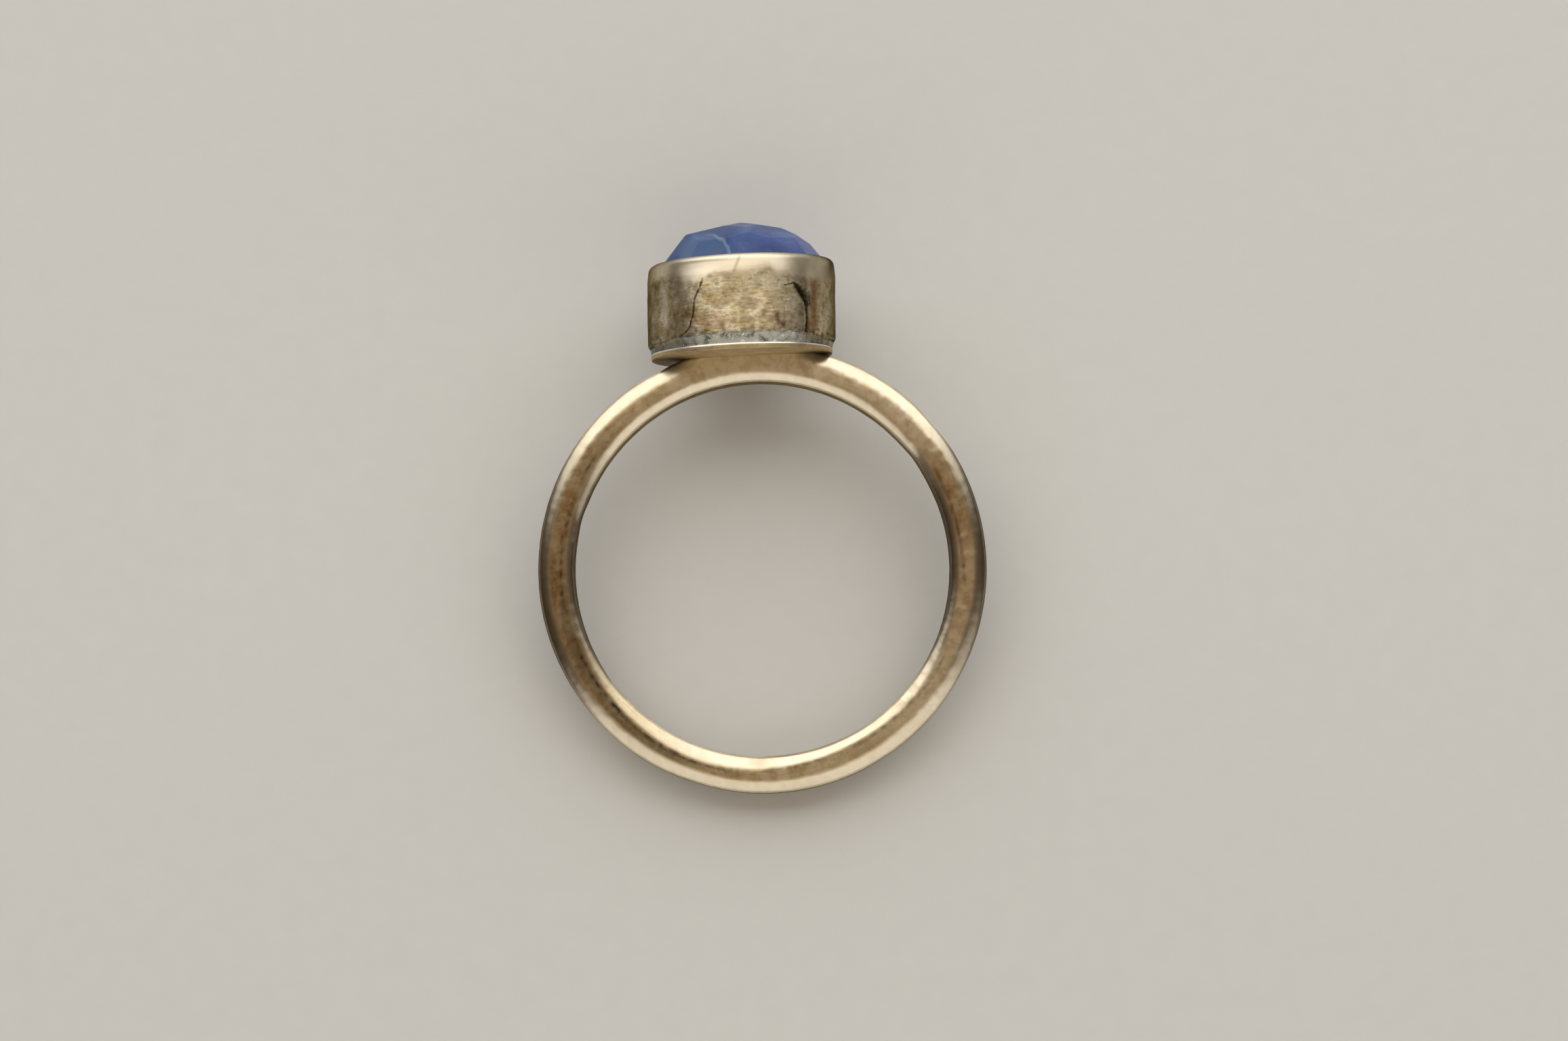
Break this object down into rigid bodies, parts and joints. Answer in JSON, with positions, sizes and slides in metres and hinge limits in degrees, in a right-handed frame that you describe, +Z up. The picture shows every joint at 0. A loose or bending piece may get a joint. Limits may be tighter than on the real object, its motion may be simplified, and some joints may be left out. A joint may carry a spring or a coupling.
{
  "type": "tanzanite ring",
  "caption": "Plain yellow gold ring of squarish wire, with a straight round cup on a back plate holding a rose-cut blue-violet tanzanite, lying on its side.",
  "frame": {"origin": "on the floor, under the middle of the ring as it lies on its side", "axes": "+Z up; +Y from the band towards the stone; +X to the right when the stone points away from the viewer. The finger's axis leans 9.5 degrees from +Z towards -Y, because the wide cup lifts the stone's end"},
  "size_m": [0.0202, 0.0258, 0.009],
  "materials": {
    "gold": "brushed yellow gold, burnished bright at the rim",
    "tanzanite": "hand-cut facets, softly polished"
  },
  "bodies": {
    "root": {"gold_ring": "gold", "tanzanite": "tanzanite"}
  },
  "joints": []
}
